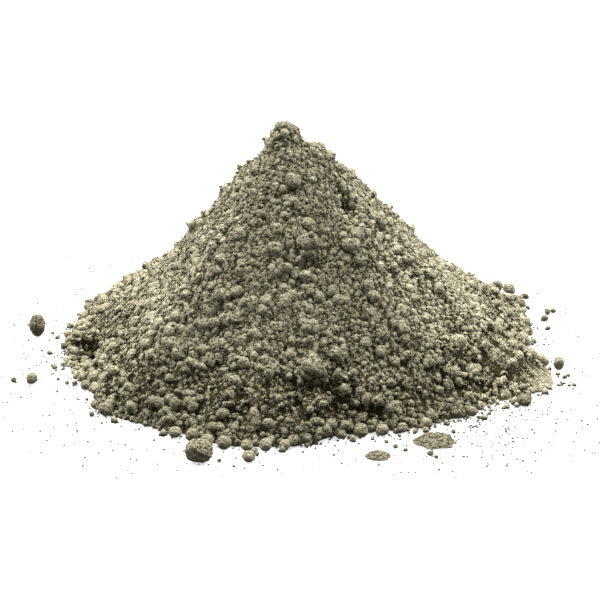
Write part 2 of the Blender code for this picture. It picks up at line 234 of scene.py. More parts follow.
# The gap to the slope over which a crumb's shade changes, from painted shade where it touches the slope to a
# slight painted highlight clear of it, and its standing at each end of that
CRUMB_GAPS = (-0.0002, 0.0010)
CRUMB_STANDINGS = (-0.0004, 0.0002)
# How far a floor crumb is lifted, as a share of its width, the height at which it is neither sunk nor
# standing, how fast its standing grows over that, for painted shade low on it and a painted highlight high on
# it, and its darkest and palest tone
FLOOR_CRUMB_LIFT = 0.26
FLOOR_CRUMB_LEVEL = 0.0008
FLOOR_CRUMB_RISE = 0.3
FLOOR_TONES = (0.0, 0.8)
# The floor strewn round the heap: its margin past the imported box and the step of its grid
FLOOR_MARGIN = 0.017
FLOOR_STEP = 0.004
# A ray that tells whether the heap lies over a place: how far over the floor it starts, and its length
RAY_START = 0.0002
RAY_LENGTH = 0.3

# How far the skin is drawn in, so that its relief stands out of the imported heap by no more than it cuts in
DRAWN_IN = 0.0016
# The same high up, where the skin stands out instead, and the heights between which it changes
DRAWN_IN_HIGH = -0.0008
HIGH_FROM = (0.008, 0.050)
# The heights between which drawing in begins, so that the foot keeps its place
DRAWN_IN_FROM = (0.002, 0.014)
# Smooth places of the slope, free of crumbs, as x, y, z and radius
CALM_PLACES = {
    "left_foot_crust": (-0.1490, -0.0020, 0.0150, 0.0165),
    "fan_at_right": (0.1660, -0.0620, 0.0040, 0.0230),
    "sand_at_right": (0.1380, -0.0600, 0.0180, 0.0220),
}
# The shares of that radius between which calm ends, and how much unevenness a calm place keeps
CALM_EDGE = (0.6, 1.2)
CALM_UNEVENNESS = 0.25
# How far a lump's form is drawn in from each side of its box, as a share of its size, to leave room for grain
LUMP_INSET = 0.035
# Lumps wider than this are given a finer mesh
LARGE_LUMP = 0.0080
# A lump's swell as width and share of its size, and its grain and domes as width and height
LUMP_SWELL = (0.0050, 0.18)
LUMP_GRAIN = (0.0014, 0.0008)
LUMP_DOMES = (0.0024, 0.00025)
# The heights between which a lump's relief begins
LUMP_RELIEF_FROM = (0.0, 0.001)
# A lump's layers: how fast they change upwards, sideways and along themselves, and their width
LAYER_TILT = (0.80, 0.45)
LAYER_RUN = 0.06
LAYER_WIDTH = 0.0016
# A lump's furrow: its bends as width and height, and the square of its spread
FURROW_BENDS = (0.0060, 0.0020)
FURROW_SPREAD_SQUARED = 0.0000012
# Lumps with layers or a furrow, as the layers' height and the furrow's depth
LUMP_FEATURES = {
    "lump_front_large": (0.0026, 0.0),
    "lump_left_tall": (0.0, 0.0010),
}
# Where specks lie thick on the floor, as x, y, radius and how many times as thick
SPECK_FIELDS = {
    "front_right": (0.1300, -0.1600, 0.0600, 7.0),
    "left": (-0.1750, -0.0200, 0.0450, 2.0),
    "left_front": (-0.1450, -0.1250, 0.0450, 0.8),
    "right": (0.1850, 0.0300, 0.0450, 1.2),
}

# Within how many spreads and above what height a named pit or knoll changes the slope
FORM_REACH = 3
FORM_LOWEST = 0.0012
# Pits and knolls of the slope as x, y, spread and rise
NAMED_FORMS = {
    "right_upper_hollow": (0.0330, -0.0220, 0.0054, -0.0075),
    "right_hollow": (0.059, -0.023, 0.0040, -0.0025),
    "low_right_hollow": (0.086, -0.064, 0.0050, -0.0040),
    "low_middle_hollow": (0.050, -0.100, 0.0045, -0.0020),
    "low_front_swell": (0.030, -0.139, 0.0120, 0.0050),
    "low_front_ledge": (0.036, -0.1235, 0.0070, -0.0022),
    "left_foot_cavity": (-0.145, -0.029, 0.0055, -0.0150),
}

# How far a named clod's middle stands out of the slope, as a share of its height
CLOD_STANDING = 0.20
# Clods that show on the slope, as x, y, width and height
NAMED_CLODS = {
    "low_front_large": (0.0123, -0.1238, 0.0126, 0.0110),
    "low_front_second": (0.0318, -0.1230, 0.0104, 0.0095),
    "low_front_third": (0.0406, -0.1250, 0.0080, 0.0090),
    "low_front_fourth": (0.0480, -0.1255, 0.0060, 0.0056),
    "low_front_left": (0.0167, -0.1375, 0.0084, 0.0078),
    "low_front_small": (0.0098, -0.1435, 0.0070, 0.0066),
    "low_front_right": (0.0526, -0.1300, 0.0094, 0.0086),
    "low_front_soft": (0.0419, -0.1350, 0.0104, 0.0080),
    "over_large": (0.0198, -0.1125, 0.0058, 0.0054),
    "over_large_left": (0.0117, -0.1125, 0.0050, 0.0048),
    "middle": (0.0095, -0.0600, 0.0124, 0.0110),
}

# How high the middle of a crumb lies on the floor, as a share of its width
CRUMB_REST = 0.34
# Its depth and height as shares of its width
CRUMB_DEPTH = 0.85
CRUMB_HEIGHT = 0.80
# Crumbs that lie clear on the floor, as x, y and width
NAMED_CRUMBS = {
    "back_right_a": (0.177, 0.103, 0.0062),
    "right_a": (0.185, 0.055, 0.0059),
    "right_b": (0.194, 0.073, 0.0045),
    "right_c": (0.185, 0.037, 0.0044),
    "front_a": (-0.045, -0.180, 0.0030),
    "front_b": (-0.036, -0.187, 0.0024),
    "middle_a": (0.057, -0.154, 0.0031),
    "middle_b": (0.062, -0.161, 0.0037),
    "middle_c": (0.068, -0.165, 0.0031),
    "by_pat_a": (0.083, -0.171, 0.0043),
    "by_pat_b": (0.086, -0.175, 0.0030),
    "left_a": (-0.176, 0.029, 0.0029),
    "left_b": (-0.171, 0.019, 0.0036),
    "left_c": (-0.160, -0.056, 0.0027),
    "left_d": (-0.153, -0.063, 0.0034),
    "back_right_cluster_a": (0.158, 0.122, 0.0094),
    "back_right_cluster_b": (0.166, 0.117, 0.0100),
    "back_right_cluster_c": (0.169, 0.093, 0.0092),
    "left_e": (-0.165, 0.040, 0.0059),
    "back_left_a": (-0.156, 0.086, 0.0084),
    "back_left_b": (-0.148, 0.095, 0.0100),
    "right_d": (0.186, -0.050, 0.0030),
    "right_e": (0.183, -0.053, 0.0036),
}


class Value:
    """A socket that takes part in sums: each operator adds the Math node that works it out."""

    def __init__(self, graph, socket):
        self.graph = graph
        self.socket = socket

    def other(self, output):
        """Another output of the same node."""
        return Value(self.graph, self.socket.node.outputs[output])

    def __add__(self, other):
        return self.graph.math("ADD", self, other)

    __radd__ = __add__

    def __sub__(self, other):
        return self.graph.math("SUBTRACT", self, other)

    def __rsub__(self, other):
        return self.graph.math("SUBTRACT", other, self)

    def __mul__(self, other):
        return self.graph.math("MULTIPLY", self, other)

    __rmul__ = __mul__

    def __truediv__(self, other):
        return self.graph.math("DIVIDE", self, other)

    def __pow__(self, power):
        return self.graph.math("POWER", self, power)


class Graph:
    """A node tree of any kind, filled by calls and by sums on the values that they return."""

    def __init__(self, tree):
        self.tree = tree

    def add(self, kind, settings=None, inputs=None, output=0):
        """Adds a node, its settings first and then its sockets' values or links, and returns an output."""
        node = self.tree.nodes.new(kind)
        for name, setting in (settings or {}).items():
            setattr(node, name, setting)
        for name, value in (inputs or {}).items():
            if isinstance(value, Value):
                self.tree.links.new(value.socket, node.inputs[name])
            else:
                node.inputs[name].default_value = value
        return Value(self, node.outputs[output]) if node.outputs else None

    def math(self, operation, *values):
        """A Math node on numbers."""
        return self.add("ShaderNodeMath", {"operation": operation}, dict(enumerate(values)))

    def vector_math(self, operation, *values, output=0):
        """A Vector Math node on vectors."""
        return self.add("ShaderNodeVectorMath", {"operation": operation}, dict(enumerate(values)), output)

    def scaled(self, vector, factor):
        """A vector times a number."""
        return self.add("ShaderNodeVectorMath", {"operation": "SCALE"}, {0: vector, "Scale": factor})

    def parts(self, vector):
        """The x, y and z of a vector."""
        first = self.add("ShaderNodeSeparateXYZ", None, {0: vector})
        return first, first.other(1), first.other(2)

    def vector(self, x, y, z):
        """A vector of its x, y and z."""
        return self.add("ShaderNodeCombineXYZ", None, {0: x, 1: y, 2: z})

    def ramped(self, value, low, high):
        """The value's way from low to high as a smooth 0 to 1."""
        return self.add(
            "ShaderNodeMapRange",
            {"interpolation_type": "SMOOTHSTEP"},
            {"Value": value, "From Min": low, "From Max": high},
        )

    def noise(self, place, width, detail=2.0, roughness=0.5):
        """A noise of 0 to 1 whose blotches are about this wide."""
        return self.add(
            "ShaderNodeTexNoise",
            {"noise_dimensions": "3D", "normalize": True},
            {"Vector": place, "Scale": 1.0 / width, "Detail": detail, "Roughness": roughness},
        )

    def cells(self, place, width):
        """Rounded domes with creases between them, 1 on a dome's top and about 0 in a crease."""
        wander = self.noise(place, width * 1.6, 1.0).other(1)
        bent = self.vector_math("ADD", place, self.scaled(wander, width * 0.8))
        away = self.add(
            "ShaderNodeTexVoronoi",
            {"voronoi_dimensions": "3D", "feature": "F1"},
            {"Vector": bent, "Scale": 1.0 / width, "Randomness": 1.0},
        )
        return 1 - away * away * 1.6

    def creases(self, place, width):
        """The distance from the creases between lumps this wide, about 0.3 in the middle of a lump."""
        wander = self.noise(place, width * 1.6, 1.0).other(1)
        bent = self.vector_math("ADD", place, self.scaled(wander, width * 0.9))
        return self.add(
            "ShaderNodeTexVoronoi",
            {"voronoi_dimensions": "3D", "feature": "DISTANCE_TO_EDGE"},
            {"Vector": bent, "Scale": 1.0 / width, "Randomness": 1.0},
        )

    def mixed(self, share, start, end):
        """A colour the given share of the way from start to end."""
        return self.add("ShaderNodeMix", {"data_type": "RGBA"}, {0: share, 6: start, 7: end}, output=2)

    def drawn(self, kind, low, high, seed):
        """A random number or vector for each point."""
        if kind == "FLOAT":
            sockets = {2: low, 3: high, "Seed": seed}
            return self.add("FunctionNodeRandomValue", {"data_type": kind}, sockets, output=1)
        return self.add("FunctionNodeRandomValue", {"data_type": kind}, {0: low, 1: high, "Seed": seed})

    def stored(self, geometry, name, value, domain="POINT"):
        """The geometry with a number stored under a name."""
        return self.add(
            "GeometryNodeStoreNamedAttribute",
            {"data_type": "FLOAT", "domain": domain},
            {"Geometry": geometry, "Name": name, "Value": value},
        )

    def moved(self, geometry, offset):
        """The geometry with each point moved."""
        return self.add("GeometryNodeSetPosition", None, {"Geometry": geometry, "Offset": offset})

    def over_floor(self, geometry):
        """The geometry with what reaches below the floor pressed flat on it."""
        along_x, along_y, up = self.parts(self.add("GeometryNodeInputPosition"))
        place = self.vector(along_x, along_y, self.math("MAXIMUM", up, 0.0))
        return self.add("GeometryNodeSetPosition", None, {"Geometry": geometry, "Position": place})

    def strewn_on(self, mesh, density, seed):
        """Points strewn on a mesh at random."""
        return self.add(
            "GeometryNodeDistributePointsOnFaces",
            {"distribute_method": "RANDOM"},
            {"Mesh": mesh, "Density": density, "Seed": seed},
        )

    def set_on(self, points, forms, turn, size):
        """One of the forms on each point, turned and scaled."""
        each = self.add(
            "GeometryNodeCollectionInfo",
            {"transform_space": "ORIGINAL"},
            {"Collection": forms, "Separate Children": True, "Reset Children": True},
        )
        return self.add("GeometryNodeInstanceOnPoints", None, {
            "Points": points,
            "Instance": each,
            "Pick Instance": True,
            "Rotation": self.add("FunctionNodeEulerToRotation", None, {0: turn}),
            "Scale": self.vector(size, size, size),
        })


def shape_tree(name, inputs):
    """A Geometry Nodes tree with named inputs besides its geometry, and the values of those inputs."""
    tree = bpy.data.node_groups.new(name, "GeometryNodeTree")
    tree.interface.new_socket("Geometry", in_out="OUTPUT", socket_type="NodeSocketGeometry")
    tree.interface.new_socket("Geometry", in_out="INPUT", socket_type="NodeSocketGeometry")
    for label, kind in inputs.items():
        tree.interface.new_socket(label, in_out="INPUT", socket_type="NodeSocket" + kind)
    graph = Graph(tree)
    entry = graph.add("NodeGroupInput")
    return graph, {label: entry.other(label) for label in ("Geometry", *inputs)}


def end_tree(graph, geometry, finish):
    """Ends a tree with its instances realized and its material set."""
    real = graph.add("GeometryNodeRealizeInstances", None, {"Geometry": geometry})
    painted = graph.add("GeometryNodeSetMaterial", None, {"Geometry": real, "Material": finish})
    graph.add("NodeGroupOutput", None, {"Geometry": painted})
    return graph.tree


def add_tree(made, tree, values):
    """Puts a tree on an object as a modifier, with its inputs set."""
    modifier = made.modifiers.new(tree.name, "NODES")
    modifier.node_group = tree
    for item in tree.interface.items_tree:
        if item.in_out == "INPUT" and item.name in values:
            modifier[item.identifier] = values[item.name]


def linked(name, mesh):
    """A new object of a mesh, in the scene."""
    made = bpy.data.objects.new(name, mesh)
    bpy.context.scene.collection.objects.link(made)
    return made


def plain(made, name):
    """A plain mesh object of what an object's modifiers make, in place of it."""
    graph = bpy.context.evaluated_depsgraph_get()
    mesh = bpy.data.meshes.new_from_object(
        made.evaluated_get(graph), preserve_all_data_layers=True, depsgraph=graph
    )
    bpy.data.objects.remove(made)
    mesh.name = name
    return linked(name, mesh)


def mesh_of(shape, name):
    """A mesh of a bmesh, which is freed."""
    mesh = bpy.data.meshes.new(name)
    shape.to_mesh(mesh)
    shape.free()
    return mesh


def welded_copy(node):
    """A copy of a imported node's mesh with its loose triangles merged."""
    shape = bmesh.new()
    shape.from_mesh(frame["nodes"][node].data)
    bmesh.ops.remove_doubles(shape, verts=shape.verts, dist=0.00001)
    for face in shape.faces:
        face.material_index = 0
        face.smooth = True
    return mesh_of(shape, node + "_form")


def add_crumb(shape, chance, fineness, knobs, roughness, size, place):
    """Adds a crumb to a mesh: a ball with a few knobs, pulled about by noise."""
    verts = bmesh.ops.create_icosphere(shape, subdivisions=fineness, radius=0.5)["verts"]
    swells = [
        (Vector([chance.gauss(0, 1) for _ in range(3)]).normalized(), chance.uniform(*KNOB_RISES) * roughness)
        for _ in range(knobs)
    ]
    origin = Vector([chance.uniform(0, 50) for _ in range(3)])
    for vert in verts:
        way = vert.co.normalized()
        swell = sum(rise * max(0.0, way.dot(knob)) ** KNOB_SHARPNESS for knob, rise in swells)
        waves = sum(height * noise.noise(way * count + origin) for count, height in (BROAD_WAVES, FINE_WAVES))
        reach = 0.50 - ROUGH_SHRINKAGE * roughness + swell + roughness * waves
        vert.co = way * reach * size + place


def crumb_forms(name, count, fineness, knobs, roughness=1.0, flatness=1.0):
    """A collection of crumb forms 1 m wide, to be strewn small."""
    chance = random.Random(name)
    forms = bpy.data.collections.new(name)
    for number in range(count):
        shape = bmesh.new()
        stretch = Vector((chance.uniform(0.8, 1.2), chance.uniform(0.8, 1.2), flatness))
        add_crumb(shape, chance, fineness, knobs, roughness, stretch, Vector())
        for face in shape.faces:
            face.smooth = True
        forms.objects.link(bpy.data.objects.new(f"{name}_{number}", mesh_of(shape, f"{name}_{number}")))
    return forms


def unrest(graph, place):
    """A share of 0 to 1 that falls to 0 in the calm places."""
    share = 1.0
    for x, y, z, radius in CALM_PLACES.values():
        away = graph.vector_math("DISTANCE", place, (x, y, z), output=1)
        share = graph.ramped(away, radius * CALM_EDGE[0], radius * CALM_EDGE[1]) * share
    return share


def strew_tree(name):
    """A tree that strews crumbs over a surface, turned at random, partly sunk and more of them in patches."""
    graph, given = shape_tree(name, {
        "Forms": "Collection",
        "Material": "Material",
        "Per square metre": "Float",
        "Smallest": "Float",
        "Largest": "Float",
        "Coarser at foot": "Float",
        "Sunk share": "Float",
        "Patchiness": "Float",
        "Highest": "Float",
        "Seed": "Int",
    })
    place = graph.add("GeometryNodeInputPosition")
    height = graph.parts(place)[2]
    upright = graph.parts(graph.add("GeometryNodeInputNormal"))[2]
    patch_width, *patch_ends = SLOPE_PATCHES
    patch = graph.ramped(graph.noise(place, patch_width, detail=2.0), *patch_ends)
    near_foot = 1 - graph.ramped(height, 0.0, given["Highest"])
    share = graph.ramped(upright, *UPRIGHT_FROM) * graph.ramped(near_foot, *THINNING)
    density = given["Per square metre"] * share
    density = density * (1 - given["Patchiness"] + given["Patchiness"] * patch) * unrest(graph, place)
    points = graph.strewn_on(given["Geometry"], density, given["Seed"])
    draw = graph.drawn("FLOAT", 0.0, 1.0, given["Seed"] + 1)
    size = given["Smallest"] + (given["Largest"] - given["Smallest"]) * draw ** SLOPE_RARITY
    size = size * (1 + given["Coarser at foot"] * (1 - graph.ramped(height, 0.0, COARSE_BELOW)))
    turn = graph.drawn("FLOAT_VECTOR", (0.0, 0.0, 0.0), (math.tau, math.tau, math.tau), given["Seed"] + 2)
    sink = graph.scaled(points.other("Normal"), size * (0.5 - given["Sunk share"]))
    strewn = graph.set_on(graph.moved(points, sink), given["Forms"], turn, size)
    toned = graph.stored(strewn, "tone", graph.drawn("FLOAT", 0.0, 1.0, given["Seed"] + 3), "INSTANCE")
    real = graph.add("GeometryNodeRealizeInstances", None, {"Geometry": toned})
    # Painted shade on a crumb where it nears the slope it lies on
    gap = graph.add("GeometryNodeProximity", {"target_element": "FACES"}, {0: given["Geometry"]}, output=1)
    lowest, highest = CRUMB_STANDINGS
    standing = graph.ramped(gap, *CRUMB_GAPS) * (highest - lowest) + lowest
    shaded = graph.stored(real, "standing", standing)
    return end_tree(graph, graph.over_floor(shaded), given["Material"])


def crumble_tree():
    """A tree that raises fine unevenness and streaks on the skin and draws it in."""
    graph, given = shape_tree("crumble", {"Material": "Material"})
    place = graph.add("GeometryNodeInputPosition")
    along_x, along_y, up = graph.parts(place)
    width, height = UNEVENNESS
    unevenness = graph.noise(place, width, detail=3.0, roughness=0.6) * height
    unevenness = unevenness * (CALM_UNEVENNESS + (1 - CALM_UNEVENNESS) * unrest(graph, place))
    width, length, height = STREAKS
    out = graph.math("SQRT", along_x * along_x + along_y * along_y)
    round_foot = graph.vector(
        along_x / out * STREAK_RADIUS, along_y / out * STREAK_RADIUS, out * (width / length)
    )
    sideways = graph.ramped(graph.math("ABSOLUTE", along_x) / out, *SIDE_FROM)
    streaks = (graph.noise(round_foot, width, detail=1.0) - 0.5) * 2.0 * height
    rise = unevenness + streaks * sideways * graph.ramped(out, *STREAKS_FROM)
    high = graph.ramped(up, *HIGH_FROM)
    drawn_in = DRAWN_IN + (DRAWN_IN_HIGH - DRAWN_IN) * high
    rise = rise - drawn_in * graph.ramped(up, *DRAWN_IN_FROM)
    offset = graph.scaled(graph.add("GeometryNodeInputNormal"), rise * graph.ramped(up, *RELIEF_FROM))
    raised = graph.moved(given["Geometry"], offset)
    return end_tree(graph, graph.over_floor(raised), given["Material"])


def standing_tree():
    """A tree that stores how far each point of a mesh stands out."""
    graph, given = shape_tree("standing", {"Material": "Material"})
    return end_tree(graph, stand_out(graph, given["Geometry"]), given["Material"])


def stand_out(graph, geometry):
    """The geometry with each point's height over its surroundings stored, and shaded smooth."""
    place = graph.add("GeometryNodeInputPosition")
    around = graph.add(
        "GeometryNodeBlurAttribute",
        {"data_type": "FLOAT_VECTOR"},
        {"Value": place, "Iterations": SURROUNDINGS},
    )
    normal = graph.add("GeometryNodeInputNormal")
    height = graph.vector_math("DOT_PRODUCT", graph.vector_math("SUBTRACT", place, around), normal, output=1)
    # A finish paints shade where a point sinks and a highlight where it stands out
    kept = graph.stored(geometry, "standing", height)
    return graph.add("GeometryNodeSetShadeSmooth", None, {"Geometry": kept})


def granulate_tree():
    """A tree that gives a caked lump its fine grain, its layers and its furrow and keeps it on the floor."""
    graph, given = shape_tree("granulate", {
        "Material": "Material",
        "Size": "Float",
        "Middle": "Vector",
        "Layer height": "Float",
        "Furrow depth": "Float",
    })
    place = graph.add("GeometryNodeInputPosition")
    up = graph.parts(place)[2]
    width, share = LUMP_SWELL
    swell = (graph.noise(place, width, detail=1.0) - 0.5) * share * given["Size"]
    width, height = LUMP_GRAIN
    grain = (graph.noise(place, width, detail=3.0, roughness=0.65) - 0.5) * height
    width, height = LUMP_DOMES
    grain = grain + graph.cells(place, width) * height
    across, _, over = graph.parts(graph.vector_math("SUBTRACT", place, given["Middle"]))
    upwards, sideways = LAYER_TILT
    tilted = graph.vector(over * upwards + across * sideways, across * LAYER_RUN, over * LAYER_RUN)
    layers = (graph.noise(tilted, LAYER_WIDTH, detail=1.0) - 0.5) * given["Layer height"]
    width, height = FURROW_BENDS
    bent = across + (graph.noise(place, width, detail=1.0) - 0.5) * height
    furrow = graph.math("EXPONENT", bent * bent / -FURROW_SPREAD_SQUARED) * given["Furrow depth"]
    rise = swell + grain + layers - furrow
    offset = graph.scaled(graph.add("GeometryNodeInputNormal"), rise * graph.ramped(up, *LUMP_RELIEF_FROM))
    pressed = graph.over_floor(graph.moved(given["Geometry"], offset))
    return end_tree(graph, stand_out(graph, pressed), given["Material"])


def powder_finish(name, colours, front_shade, up_high, reach, creasing):
    """Dry matt powder with a fine grain, painted shade in its crevices, creases and pits and, where given, on
    the front slope, and a painted highlight on its crests.
    """
    # The crevice colour is painted shade and the crest colour a painted highlight
    crevice, body, crest = colours
    finish = bpy.data.materials.new(name)
    finish.use_nodes = True
    finish.node_tree.nodes.clear()
    graph = Graph(finish.node_tree)
    place = graph.add("ShaderNodeTexCoord").other("Object")
    standing = graph.add("ShaderNodeAttribute", {"attribute_name": "standing"}).other("Fac")
    tone = graph.add("ShaderNodeAttribute", {"attribute_name": "tone"}).other("Fac")
    width, weight = BLOTCHES
    blotch = (graph.noise(place, width, detail=3.0, roughness=0.6) - 0.5) * weight
    width, weight = GRAINS
    grain = (graph.noise(place, width, detail=2.0, roughness=0.8) - 0.5) * weight
    wide, narrow = (
        graph.ramped(graph.creases(place, width), 0.0, end) for width, end in (WIDE_CREASES, NARROW_CREASES)
    )
    creased = (wide + narrow) * 0.5
    width, low, high, weight = PITS
    pits = graph.ramped(graph.noise(place, width, detail=2.0, roughness=0.6), low, high)
    # Painted shade and highlight from standing out, creases and pits, besides the blotches, grain and tone of
    # the colour
    shade = standing / reach * STANDING_WEIGHT + blotch + grain + (tone - 0.5) * TONE_WEIGHT
    shade = shade + ((creased - 1) + (pits - 1) * weight) * creasing
    along_x, along_y, up = graph.parts(place)
    # Painted shade on the front slope, thinning out towards the sides
    front = graph.ramped(along_y * -1.0 - graph.math("ABSOLUTE", along_x) * FRONT_SHADE_NARROWING, *FRONT_SHADE_FROM)
    body = graph.mixed(graph.ramped(up, *HIGH_COLOUR_FROM), body, up_high)
    body = graph.mixed(front, body, front_shade)
    crest = graph.mixed(front * FRONT_HIGHLIGHT_LOSS, crest, body)
    colour = graph.mixed(graph.ramped(shade, *CREVICE_SHADES), crevice, body)
    colour = graph.mixed(graph.ramped(shade, *CREST_SHADES), colour, crest)
    width, share = BUMP_UNEVENNESS
    height = graph.noise(place, width, detail=3.0, roughness=0.7) * share
    width, share = BUMP_GRAIN
    height = height + graph.noise(place, width, detail=2.0, roughness=0.6) * share
    for width, share in (BUMP_WIDE_DOMES, BUMP_NARROW_DOMES):
        height = height + graph.cells(place, width) * share
    height = height + pits * BUMP_PITS
    relief = graph.add("ShaderNodeBump", None, {"Strength": 1.0, "Distance": BUMP_DEPTH, "Height": height})
    shader = graph.add("ShaderNodeBsdfPrincipled", None, {
        "Base Color": colour,
        "Normal": relief,
        "Roughness": MATT_ROUGHNESS,
        "Specular IOR Level": MATT_SHINE,
    })
    graph.add("ShaderNodeOutputMaterial", None, {"Surface": shader})
    return finish


def shaped_base():
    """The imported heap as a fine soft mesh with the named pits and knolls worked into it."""
    base = linked("heap_base", welded_copy("cement_heap"))
    soften = base.modifiers.new("soften", "REMESH")
    soften.mode = "VOXEL"
    soften.voxel_size = BASE_VOXEL
    smooth = base.modifiers.new("smooth", "SMOOTH")
    smooth.factor = 0.5
    smooth.iterations = 2
    base = plain(base, "heap_base")
    shape = bmesh.new()
    shape.from_mesh(base.data)
    for x, y, spread, rise in NAMED_FORMS.values():
        for vert in shape.verts:
            apart = math.hypot(vert.co.x - x, vert.co.y - y) / spread
            if apart < FORM_REACH and vert.co.z > FORM_LOWEST:
                vert.co += vert.normal * rise * math.exp(-0.5 * apart ** 2)
    shape.to_mesh(base.data)
    shape.free()
    bpy.context.view_layer.update()
    return base


def add_named_clods(shape, ground):
    """Adds the clods that show on the slope to a mesh, each with its middle near the surface."""
    chance = random.Random(SEED)
    for x, y, width, height in NAMED_CLODS.values():
        hit, place, normal, _ = ground.ray_cast(Vector((x, y, 1.0)), Vector((0.0, 0.0, -1.0)))
        if hit:
            middle = place + normal * height * CLOD_STANDING
            size = Vector((width, width, height))
            add_crumb(shape, chance, fineness=3, knobs=4, roughness=0.55, size=size, place=middle)


def fused(base, finish):
    """The base with clods and granules on it, all fused into one skin."""
    shape = bmesh.new()
    shape.from_mesh(base.data)
    add_named_clods(shape, base)
    for number, (name, figures) in enumerate(FUSED_LUMPS.items()):
        density, smallest, largest, coarser, sunk, patchiness, fineness = figures
        strewn = linked(name, base.data.copy())
        add_tree(strewn, strew_tree(name + "_on_slope"), {
            "Forms": crumb_forms(name, count=10, fineness=fineness, knobs=2, roughness=0.6),
            "Material": finish,
            "Per square metre": density,
            "Smallest": smallest,
            "Largest": largest,
            "Coarser at foot": coarser,
            "Sunk share": sunk,
            "Patchiness": patchiness,
            "Highest": OVER_SUMMIT,
            "Seed": SEED + number * 5,
        })
        strewn = plain(strewn, name)
        shape.from_mesh(strewn.data)
        bpy.data.objects.remove(strewn)
    shape.to_mesh(base.data)
    shape.free()
    fuse = base.modifiers.new("fuse", "REMESH")
    fuse.mode = "VOXEL"
    fuse.voxel_size = SKIN_VOXEL
    return plain(base, "heap_fused")


def whole_skin(finish):
    """The skin of the heap in one mesh."""
    rough = fused(shaped_base(), finish)
    keep_outer_shell(rough.data)
    add_tree(rough, crumble_tree(), {"Material": finish})
    thin = rough.modifiers.new("thin", "DECIMATE")
    thin.ratio = min(1.0, SKIN_FACES / (2.0 * len(rough.data.polygons)))
    add_tree(rough, standing_tree(), {"Material": finish})
    return plain(rough, "whole_skin")


def quarter_tree():
    """A tree that keeps the faces on the given sides of x and y."""
    graph, given = shape_tree("quarter", {"Material": "Material", "Side x": "Float", "Side y": "Float"})
    along_x, along_y, _ = graph.parts(graph.add("GeometryNodeInputPosition"))
    inside = graph.math("MINIMUM", along_x * given["Side x"], along_y * given["Side y"])
    beyond = graph.math("LESS_THAN", inside, 0.0)
    kept = graph.add(
        "GeometryNodeDeleteGeometry",
        {"domain": "FACE"},
        {"Geometry": given["Geometry"], "Selection": beyond},
    )
    return end_tree(graph, kept, given["Material"])


def skin_piece(name, whole, tree, side_x, side_y, finish):
    """One quarter of the skin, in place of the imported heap."""
    quarter = linked(name, whole.copy())
    add_tree(quarter, tree, {"Material": finish, "Side x": side_x, "Side y": side_y})
    quarter = plain(quarter, name)
    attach(quarter, "root")
    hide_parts("cement_heap")


def keep_outer_shell(mesh):
    """Leaves out the closed pockets inside a fused mesh."""
    shape = bmesh.new()
    shape.from_mesh(mesh)
    waiting = set(shape.verts)
    groups = []
    while waiting:
        group = [waiting.pop()]
        for vert in group:
            near = [edge.other_vert(vert) for edge in vert.link_edges]
            fresh = [other for other in near if other in waiting]
            waiting.difference_update(fresh)
            group.extend(fresh)
        groups.append(group)
    groups.sort(key=len)
    for group in groups[:-1]:
        bmesh.ops.delete(shape, geom=group, context="VERTS")
    shape.to_mesh(mesh)
    shape.free()


def strewn_piece(name, bed_mesh, finish, forms, values):
    """A piece of loose crumbs on a bed."""
    bed = linked(name + "_bed", bed_mesh.copy())
    add_tree(bed, strew_tree(name + "_strewn"), {"Forms": forms, "Material": finish, **values})
    cover = plain(bed, name)
    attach(cover, "root")


def lump_piece(node, tree, finish):
    """A caked lump with a grainy surface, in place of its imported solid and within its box."""
    low, high = (Vector(corner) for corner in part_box(node))
    inset = (high - low) * LUMP_INSET
    low += Vector((inset.x, inset.y, 0.0))
    high -= inset
    size = high - low
    form = linked(node + "_form", welded_copy(node))
    rounding = form.modifiers.new("rounding", "SUBSURF")
    rounding.levels = rounding.render_levels = 3 if size.x > LARGE_LUMP else 2
    form = plain(form, node + "_form")
    corners = [vert.co for vert in form.data.vertices]
    small = Vector([min(co[axis] for co in corners) for axis in range(3)])
    large = Vector([max(co[axis] for co in corners) for axis in range(3)])
    for vert in form.data.vertices:
        for axis in range(3):
            share = (vert.co[axis] - small[axis]) / (large[axis] - small[axis])
            vert.co[axis] = low[axis] + share * size[axis]
    layer_height, furrow_depth = LUMP_FEATURES.get(node, (0.0, 0.0))
    add_tree(form, tree, {
        "Material": finish,
        "Size": size.x,
        "Middle": (low + high) / 2,
        "Layer height": layer_height,
        "Furrow depth": furrow_depth,
    })
    lump = plain(form, "grainy_" + node)
    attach(lump, "root")
    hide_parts(node)


def floor_bed():
    """A flat grid on the floor round the heap."""
    low, high = cad_box
    shape = bmesh.new()
    half_x = (high[0] - low[0]) / 2 + FLOOR_MARGIN
    half_y = (high[1] - low[1]) / 2 + FLOOR_MARGIN
    steps_x = int(half_x * 2 / FLOOR_STEP)
    steps_y = int(half_y * 2 / FLOOR_STEP)
    bmesh.ops.create_grid(shape, x_segments=steps_x, y_segments=steps_y, size=1.0)
    middle = Vector(((low[0] + high[0]) / 2, (low[1] + high[1]) / 2, 0.0))
    for vert in shape.verts:
        vert.co = Vector((vert.co.x * half_x, vert.co.y * half_y, 0.0)) + middle
    return mesh_of(shape, "floor_bed")


